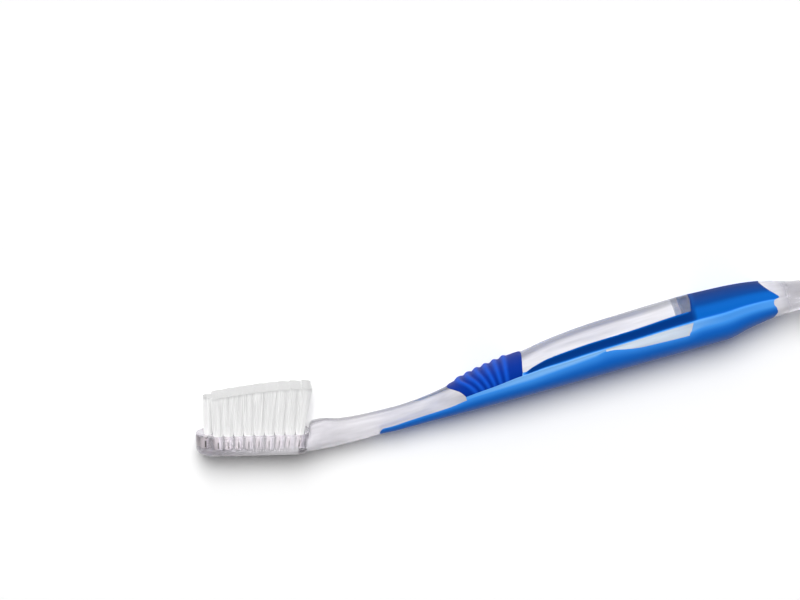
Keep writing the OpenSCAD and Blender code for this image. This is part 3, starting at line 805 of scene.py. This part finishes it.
def belly_haze(tree, form, head, where, x):
    """The haze in the head's belly, below the tufts' holes, where 1 is no more than elsewhere."""
    more, soft_edge = 0.7, 0.8 * MM
    out_of_face = (math.sin(head.tilt), 0, math.cos(head.tilt))
    level = node(tree, "VectorMath", {0: where, 1: out_of_face}, operation="DOT_PRODUCT")
    holes_end = form.x_heel * math.sin(head.tilt) + head.deck * math.cos(head.tilt) - head.hole_depth
    head_span = (form.x_heel - 8 * MM, form.x_heel - 2 * MM)
    belly = ranged(tree, level.outputs["Value"], (holes_end - soft_edge, holes_end), (more, 0))
    return calc(tree, "MULTIPLY_ADD", belly, ranged(tree, x, head_span, (1, 0)), 1)


def let_in(tree, form, x):
    """The share of the lamps' light that passes straight into the head, onto the tufts' roots."""
    most = 0.8
    ahead = ranged(tree, x, (form.x_heel - MM, form.x_heel + 2 * MM), (most, 0))
    ray = rays(tree)
    inside = calc(tree, "GREATER_THAN", ray["Transmission Depth"], 0.5)
    return product(tree, ahead, product(tree, inside, ray["Is Shadow Ray"]))


def clear_plastic(finishes, form, head):
    """Clear moulded plastic with a light haze. It is clearest in its patch and along the top of the neck, and
    its tint is darkened with painted shade along the very top of the neck.
    """
    patch_clears, crown_clears, painted_edge_shade = 0.78, 0.7, 0.6
    material, tree, shader, output = new_material("clear_plastic")
    where, place = own_place(tree)
    crown = kept(tree, "crown")
    tint = ramp(tree, kept(tree, "cast"), [(0, finishes.clear), (1, finishes.clear_cast)])
    streaks = grain(tree, scale=500, detail=3, stretch=(0.12, 1, 1))
    haze = product(
        tree,
        haze_along(tree, form, place["X"]),
        calc(tree, "MULTIPLY_ADD", clear_patch(tree, form, place), -patch_clears, 1),
        calc(tree, "MULTIPLY_ADD", crown, -crown_clears, 1),
        belly_haze(tree, form, head, where, place["X"]),
        ranged(tree, streaks, result=(0.6, 1.4)),
    )
    wire(tree, shader, {
        # Painted shade: the tint darkens along the very top of the neck.
        "Base Color": shade(tree, tint, ranged(tree, crown, (0.75, 1), (1, painted_edge_shade))),
        "Transmission Weight": calc(tree, "SUBTRACT", 1, haze, use_clamp=True),
        "Roughness": ranged(tree, streaks, result=(0.03, 0.1)),
        "IOR": PLASTIC_IOR,
    })
    passed = node(tree, "BsdfTransparent", {"Color": (*finishes.clear, 1)}).outputs[0]
    whole = blend(tree, let_in(tree, form, place["X"]), shader.outputs[0], passed)
    wire(tree, output, {"Surface": whole})
    return material


def soft_rubber(name, colours, roughness):
    """Satin soft rubber with the finest of grain. Its blue deepens with the tone of the surface, which carries
    painted highlight and painted shade.
    """
    material, tree, shader, _ = new_material(name)
    fine = grain(tree, scale=9000)
    bump = node(tree, "Bump", {"Height": fine, "Strength": 0.06, "Distance": 0.02 * MM})
    stops = [(n / (len(colours) - 1), blue) for n, blue in enumerate(colours)]
    wire(tree, shader, {
        "Base Color": ramp(tree, kept(tree, "tone"), stops),
        "Normal": bump.outputs["Normal"],
        "Roughness": roughness,
        "Specular IOR Level": 0.2,
    })
    return material


def nylon(finishes):
    """Translucent nylon filament, with painted shade darkening its tip, and duller where it is packed into its
    hole, partly by painted shade.
    """
    painted_tip_shade, tip_share = 0.78, 0.93
    material, tree, shader, _ = new_material("nylon")
    streak = ranged(tree, grain(tree, scale=4000, stretch=(1, 1, 0.05)), result=(0.94, 1))
    tip_shade = ranged(tree, kept(tree, "height"), (tip_share, 1), (1, painted_tip_shade))
    bare = shade(tree, finishes.nylon, product(tree, streak, tip_shade))
    whole = node(tree, "Mix", {
        0: kept(tree, "packed"), 6: bare, 7: (*finishes.root, 1),
    }, data_type="RGBA")
    wire(tree, shader, {
        "Base Color": whole.outputs[2],
        "Roughness": 0.35,
        "IOR": PLASTIC_IOR,
        "Subsurface Weight": 0.5,
        "Subsurface Radius": (1, 1, 1),
        "Subsurface Scale": 0.1 * MM,
    })
    return material


def anchor_metal(finishes):
    """Bright punched metal."""
    material, tree, shader, _ = new_material("anchor_metal")
    wire(tree, shader, {
        "Base Color": (*finishes.anchor, 1),
        "Metallic": 1,
        "Roughness": ranged(tree, grain(tree, scale=6000), result=(0.25, 0.45)),
    })
    return material


def sizes(context):
    """The sizes of the head, bristles and skins, and the handle's form that follows from all the sizes."""
    scene = context.scene
    head, skin = scene.brush_head, scene.brush_skin
    return head, scene.brush_bristles, skin, HandleForm(head, scene.brush_handle, skin)


class TOOTHBRUSH_OT_clear_body(bpy.types.Operator):
    """Model the clear body: the bevelled head, the lofted handle, its recesses and its tuft holes"""

    bl_idname = "toothbrush.clear_body"
    bl_label = "Clear body"

    def execute(self, context):
        head, bristles, _, form = sizes(context)
        deck = deck_frame(form, head)
        body = wrapped(form, None, form.dip)
        edit(body, "SELECT")
        bpy.ops.mesh.fill_holes(sides=0)
        layer = bmesh.from_edit_mesh(body.data).faces.layers.int["cover"]
        choose(body, "FACE", lambda face: face[layer] != CLEAR)
        bpy.ops.mesh.extrude_region_move()
        draw_in(body, form, lambda station, k: form.thickness(form.line_x(station, k)))
        close()
        plate = head_plate(head)
        settle(plate, "head_plate", deck)
        modify(body, "BOOLEAN", operation="UNION", object=plate, solver="EXACT")
        holes = tuft_holes(head, bristles, deck)
        modify(body, "BOOLEAN", operation="DIFFERENCE", object=holes, solver="EXACT")
        for cutter in (plate, holes):
            bpy.data.objects.remove(cutter)
        smooth(body, BODY_SHARP)
        settle(body, "clear_brush_body")
        dress(body, clear_plastic(context.scene.brush_finishes, form, head), "clear_plastic", "clear_body")
        return {"FINISHED"}


def head_plate(head):
    """The head: a block with rounded corners, a rounded belly and a softened rim, in its own frame."""
    head_l = head_length(head)
    bpy.ops.mesh.primitive_cube_add(size=1.0, location=(-head_l / 2, 0, -head.thickness / 2))
    plate = bpy.context.object
    plate.scale = (head_l, head_width(head), head.thickness)
    settle(plate, "head_plate")
    edit(plate)
    for end, radius in ((-head_l, head.tip_corner), (0, head.heel_corner)):
        choose(
            plate, "EDGE",
            lambda edge: abs(edge.verts[0].co.z - edge.verts[1].co.z) > head.thickness / 2
            and all(abs(v.co.x - end) < NEAR for v in edge.verts),
        )
        bpy.ops.mesh.bevel(offset=radius, segments=10, affect="EDGES", clamp_overlap=False)
    for height, radius, segments in ((-head.thickness, head.belly, 7), (0, head.rim_edge, 3)):
        choose(plate, "EDGE", lambda edge: all(abs(v.co.z - height) < NEAR for v in edge.verts))
        bpy.ops.mesh.bevel(offset=radius, segments=segments, affect="EDGES", clamp_overlap=False)
    close()
    return plate


def tuft_holes(head, bristles, deck):
    """The cutter for the blind holes, one for each tuft."""
    overrun = MM
    cutters = []
    for place in tuft_places(head):
        bpy.ops.mesh.primitive_cylinder_add(
            vertices=ROUND_SIDES, radius=head.hole / 2, depth=head.hole_depth + overrun,
            location=(0, 0, (overrun - head.hole_depth) / 2),
        )
        cutters.append(settle(bpy.context.object, "hole", tuft_frame(deck, bristles, place)))
    return join(cutters, "holes")


class TOOTHBRUSH_OT_soft_grip(bpy.types.Operator):
    """Model the soft grip as one shell: neck strip, handle sides and rear band"""

    bl_idname = "toothbrush.soft_grip"
    bl_label = "Soft grip"

    def execute(self, context):
        *_, form = sizes(context)
        finishes = context.scene.brush_finishes
        shell = soft_shell(form, GRIP, form.dip, "soft_grip_skin")
        blues = (
            finishes.crest_highlight_blue, finishes.highlight_fade_blue, finishes.grip_blue, finishes.top_and_bottom_shade_blue, finishes.deepest_shade_blue
        )
        dress(shell, soft_rubber("soft_blue", blues, 0.5), "soft_blue", "soft_grip")
        return {"FINISHED"}


class TOOTHBRUSH_OT_thumb_pad(bpy.types.Operator):
    """Model the ribbed thumb pad"""

    bl_idname = "toothbrush.thumb_pad"
    bl_label = "Thumb pad"

    def execute(self, context):
        *_, form = sizes(context)
        finishes = context.scene.brush_finishes
        shell = soft_shell(form, PAD, lambda station, k: -form.pad_height(station, k), "ribbed_thumb_pad")
        blues = (finishes.rib_blue, finishes.rib_valley_shade_blue)
        dress(shell, soft_rubber("soft_deep_blue", blues, 0.55), "soft_deep_blue", "thumb_pad")
        return {"FINISHED"}


class TOOTHBRUSH_OT_tufts(bpy.types.Operator):
    """Model each tuft as its own bundle of filaments on a folded root"""

    bl_idname = "toothbrush.tufts"
    bl_label = "Tufts"

    def execute(self, context):
        head, bristles, _, form = sizes(context)
        finish = nylon(context.scene.brush_finishes)
        deck = deck_frame(form, head)
        places = tuft_places(head)
        pattern = tuft_pattern(head, bristles)
        first, last = places[0][0], places[-1][0]
        for number, place in enumerate(places, 1):
            along, across, _, open_sides = place
            side = 1 if across > 0 else -1
            tuft = tuft_bundle(head, bristles, pattern, side, open_sides, random.Random(number))
            trim_tuft(tuft, bristles, along, first, last)
            settle(tuft, f"bristle_tuft_{number:02d}", tuft_frame(deck, bristles, place))
            smooth(tuft, TUFT_SHARP)
            dress(tuft, finish, "nylon", f"tuft_{number:02d}")
        return {"FINISHED"}


GOLDEN_TURN = math.pi * (3 - math.sqrt(5))
FILAMENT_JOINTS = (0.03, 0.1, 0.3, 0.65)
FLARE_BEND = 0.25
TRIM_BEND = 1.1
ROOT_OVERLAP = 0.4 * MM
ROOT_EDGE = 0.4 * MM


def tuft_pattern(head, bristles):
    """The places of the filaments in a tuft, as (radius, turn)."""
    reach = head.hole / 2 - bristles.filament / 2
    count = bristles.filaments
    return [(reach * math.sqrt((n + 0.5) / count), n * GOLDEN_TURN) for n in range(count)]


def filament_mesh(bristles):
    """One filament of unit length: six sides and a few joints along it."""
    bpy.ops.mesh.primitive_cylinder_add(
        vertices=6, radius=bristles.filament / 2, depth=1.0, location=(0, 0, 0.5), end_fill_type="NGON"
    )
    filament = bpy.context.object
    settle(filament, "filament")
    edit(filament)
    for height in FILAMENT_JOINTS:
        bpy.ops.mesh.select_all(action="SELECT")
        bpy.ops.mesh.bisect(plane_co=(0, 0, height), plane_no=(0, 0, 1))
    close()
    mesh = filament.data
    bpy.data.objects.remove(filament)
    return mesh


def tuft_bundle(head, bristles, pattern, side, open_sides, chance):
    """A tuft in its own frame, of unit height: its root and its filaments, each with a little stray."""
    source = bpy.data.meshes.get("filament") or filament_mesh(bristles)
    depth = head.hole_depth - bristles.root_drop
    bpy.ops.mesh.primitive_cylinder_add(
        vertices=ROUND_SIDES, radius=head.hole / 2 + bristles.root_press, depth=depth,
        location=(0, 0, -head.hole_depth + depth / 2),
    )
    root = bpy.context.object
    settle(root, "root")
    edit(root)
    choose(root, "EDGE", lambda edge: all(v.co.z < NEAR - head.hole_depth for v in edge.verts))
    bpy.ops.mesh.bevel(offset=ROOT_EDGE, segments=3, affect="EDGES")
    close()
    bundle = bmesh.new()
    bundle.from_mesh(root.data)
    bpy.data.objects.remove(root)
    height = bundle.verts.layers.float.new("height")
    packed = bundle.verts.layers.float.new("packed")
    for vertex in bundle.verts:
        vertex[packed] = 1.0
    for radius, turn in pattern:
        start = len(bundle.verts)
        bundle.from_mesh(source)
        bundle.verts.ensure_lookup_table()
        out = Vector((math.cos(side * turn), math.sin(side * turn), 0))
        spread = out * radius / (head.hole / 2) * bristles.flare
        if open_sides[(1 if out.x > 0 else -1, 0)]:
            spread.x *= bristles.open_share
        if open_sides[(0, 1 if out.y > 0 else -1)]:
            spread.y *= bristles.open_share
        stray = Vector((chance.uniform(-1, 1), chance.uniform(-1, 1), 0)) * bristles.stray
        for vertex in bundle.verts[start:]:
            up = vertex.co.z
            vertex[height] = up
            flat = Vector((vertex.co.x, vertex.co.y, 0))
            vertex.co = flat + out * radius + spread * up**FLARE_BEND + stray * up**2
            vertex.co.z = 0
    mesh = bpy.data.meshes.new("tuft")
    bundle.to_mesh(mesh)
    bundle.free()
    tuft = bpy.data.objects.new("tuft", mesh)
    bpy.context.scene.collection.objects.link(tuft)
    return tuft


def trim_of(bristles, part):
    """The length of the bristles at a share of the way from the tip to the heel."""
    part = min(1.0, max(0.0, part))
    return mix(bristles.tip_trim, bristles.heel_trim, math.sin(math.pi / 2 * part**TRIM_BEND))


def trim_tuft(tuft, bristles, along, first, last):
    """Cuts every filament of a tuft to the brush's own profile, between the first column and the last."""
    mesh = tuft.data
    start = -bristles.root_drop - ROOT_OVERLAP
    for vertex, height in zip(mesh.vertices, mesh.attributes["height"].data):
        if vertex.co.z < -NEAR:
            continue
        part = (along + vertex.co.x - first) / (last - first)
        vertex.co.z = mix(start, trim_of(bristles, part), height.value)
    mesh.update()


class TOOTHBRUSH_OT_anchors(bpy.types.Operator):
    """Give the metal anchors their finish. Their CAD solids stay as they are"""

    bl_idname = "toothbrush.anchors"
    bl_label = "Anchors"

    def execute(self, context):
        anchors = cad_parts["tuft_anchors"]
        anchors.data.materials.clear()
        anchors.data.materials.append(anchor_metal(context.scene.brush_finishes))
        return {"FINISHED"}


class TOOTHBRUSH_OT_stage(bpy.types.Operator):
    """Set up the table, the lamps, the world and the camera"""

    bl_idname = "toothbrush.stage"
    bl_label = "Stage"

    def execute(self, context):
        scene = context.scene
        scene.view_settings.view_transform = "Standard"
        head, _, skin, form = sizes(context)
        pale_table(scene.brush_finishes, head, skin, form)
        pale_world(scene)
        lamps()
        camera(scene)
        return {"FINISHED"}


def shown_ray(tree):
    """1 for rays that show the background: straight, reflected or refracted."""
    ray = rays(tree)
    bent = calc(tree, "MAXIMUM", ray["Is Glossy Ray"], ray["Is Transmission Ray"])
    return calc(tree, "MAXIMUM", ray["Is Camera Ray"], bent)


def straight_view(tree, kind):
    """1 for rays of one kind that carry the view itself, and no light onto a dull surface."""
    ray = rays(tree)
    return product(tree, ray[kind], calc(tree, "LESS_THAN", ray["Diffuse Depth"], 0.5))


def pale_table(finishes, head, skin, form):
    """A plain pale table, on which the brush lies on its side. It shows from the front only.

    Below the brush it is dimmer through clear plastic, and above the brush it is dimmer in reflections.
    """
    clearance, table_l = 0.05 * MM, 8.0
    dim_below, below_span = 0.5, (-18 * MM, -6 * MM)
    dim_above, above_span = 0.75, (8 * MM, 16 * MM)
    half_w = head_width(head) / 2
    tilt = (form.half_width(form.x_band) - half_w) / (form.x_band - form.x_heel)
    reach = max(form.half_width(x) + skin.bead - tilt * x for x in form.stations)
    reach = max(reach, half_w - tilt * form.x_heel) + clearance
    bpy.ops.mesh.primitive_plane_add(size=table_l, location=(0, 0, 0))
    turn = Matrix.Rotation(math.atan(tilt), 4, "Z") @ Matrix.Rotation(math.radians(90), 4, "X")
    table = settle(bpy.context.object, "table", Matrix.Translation((0, reach, 0)) @ turn)
    material, tree, shader, output = new_material("table")
    wire(tree, shader, {"Base Color": (*finishes.table, 1), "Roughness": 0.9, "Specular IOR Level": 0})
    _, place = own_place(tree)
    below = ranged(tree, place["Z"], below_span, (dim_below, 0))
    over = ranged(tree, place["Z"], above_span, (0, dim_above))
    bent = product(tree, below, straight_view(tree, "Is Transmission Ray"))
    shine = product(tree, over, straight_view(tree, "Is Glossy Ray"))
    dark = node(tree, "Emission", {"Strength": 0}).outputs[0]
    shown = blend(tree, calc(tree, "MAXIMUM", bent, shine), shader.outputs[0], dark)
    behind = node(tree, "NewGeometry").outputs["Backfacing"]
    unseen = calc(tree, "MAXIMUM", rays(tree)["Is Shadow Ray"], behind)
    open_side = node(tree, "BsdfTransparent").outputs[0]
    wire(tree, output, {"Surface": blend(tree, unseen, shown, open_side)})
    table.data.materials.append(material)


def pale_world(scene):
    """An even pale world: white where it is seen, greyer overhead in bent views and darker in reflections."""
    lighting, reflection_cut = 0.12, 0.88
    overhead, overhead_span = 0.25, (0.35, 0.85)
    world = bpy.data.worlds.new("studio")
    scene.world = world
    world.use_nodes = True
    tree = world.node_tree
    tree.nodes.clear()
    _, place = own_place(tree, "Generated")
    ray = rays(tree)
    height = ranged(tree, place["Z"], overhead_span, (1, overhead))
    room = calc(tree, "MULTIPLY_ADD", ray["Is Glossy Ray"], -reflection_cut, 1)
    seen = calc(tree, "MAXIMUM", product(tree, height, room), ray["Is Camera Ray"])
    lit, shown = (
        node(tree, "Background", {"Color": (1, 1, 1, 1), "Strength": strength}).outputs[0]
        for strength in (lighting, seen)
    )
    node(tree, "OutputWorld", {"Surface": blend(tree, shown_ray(tree), lit, shown)})


def lamps():
    """A broad key lamp with no shine of its own, a small one for the glints and a broader one from behind."""
    key = sun("key", energy=3.05, spread=33, aim=Vector((-0.05, 0.86, -0.49)))
    key.visible_glossy = False
    sun("glint", energy=0.22, spread=12, aim=Vector((-0.1, 0.65, -0.75)))
    sun("back", energy=2.0, spread=80, aim=Vector((-0.1, -0.97, -0.2)))


def sun(name, energy, spread, aim):
    """A distant lamp of an energy, with a soft edge of a spread in degrees, pointed along its aim."""
    bpy.ops.object.light_add(type="SUN", location=-aim)
    lamp = bpy.context.object
    lamp.name = name
    lamp.data.energy = energy
    lamp.data.angle = math.radians(spread)
    lamp.rotation_euler = aim.to_track_quat("-Z", "Y").to_euler()
    return lamp


def camera(scene):
    """The photograph's view: level with the brush's side, a little above it, and rolled."""
    lens, sensor, width = 200.0, 36.0, 0.1905
    rise, roll = math.radians(13), math.radians(15.6)
    aim = Vector((-0.0379, 0, 0.0304))
    right = Vector((1, 0, 0))
    up = Vector((0, math.sin(rise), math.cos(rise)))
    back = Vector((0, -math.cos(rise), math.sin(rise)))
    turned_right = right * math.cos(roll) - up * math.sin(roll)
    turned_up = right * math.sin(roll) + up * math.cos(roll)
    bpy.ops.object.camera_add()
    cam = bpy.context.object
    cam.name = "camera"
    cam.data.lens = lens
    cam.data.sensor_width = sensor
    cam.data.clip_start, cam.data.clip_end = 0.01, 20.0
    place = Matrix((turned_right, turned_up, back)).transposed().to_4x4()
    place.translation = aim + back * (width * lens / sensor)
    cam.matrix_world = place
    scene.camera = cam


class TOOTHBRUSH_PT_panel(bpy.types.Panel):
    """The brush's sizes, colours and operators"""

    bl_label = "Toothbrush"
    bl_idname = "TOOTHBRUSH_PT_panel"
    bl_space_type = "VIEW_3D"
    bl_region_type = "UI"
    bl_category = "Toothbrush"

    def draw(self, context):
        layout = self.layout
        for group in GROUPS:
            box = layout.box()
            box.label(text=group.__doc__)
            for name in group.__annotations__:
                box.prop(getattr(context.scene, GROUPS[group]), name)
        for operator in PIECES:
            layout.operator(operator.bl_idname)


GROUPS = {
    HeadSizes: "brush_head",
    BristleSizes: "brush_bristles",
    HandleSizes: "brush_handle",
    SkinSizes: "brush_skin",
    Finishes: "brush_finishes",
}
PIECES = (
    TOOTHBRUSH_OT_stage,
    TOOTHBRUSH_OT_clear_body,
    TOOTHBRUSH_OT_soft_grip,
    TOOTHBRUSH_OT_thumb_pad,
    TOOTHBRUSH_OT_tufts,
    TOOTHBRUSH_OT_anchors,
)


def register():
    for kind in (*GROUPS, *PIECES, TOOTHBRUSH_PT_panel):
        bpy.utils.register_class(kind)
    for group, name in GROUPS.items():
        setattr(bpy.types.Scene, name, PointerProperty(type=group))


def unregister():
    for name in GROUPS.values():
        delattr(bpy.types.Scene, name)
    for kind in reversed((*GROUPS, *PIECES, TOOTHBRUSH_PT_panel)):
        bpy.utils.unregister_class(kind)


def main():
    register()
    bpy.ops.toothbrush.stage()
    bpy.ops.toothbrush.clear_body()
    bpy.ops.toothbrush.soft_grip()
    bpy.ops.toothbrush.thumb_pad()
    bpy.ops.toothbrush.tufts()
    bpy.ops.toothbrush.anchors()


if __name__ == "__main__":
    main()
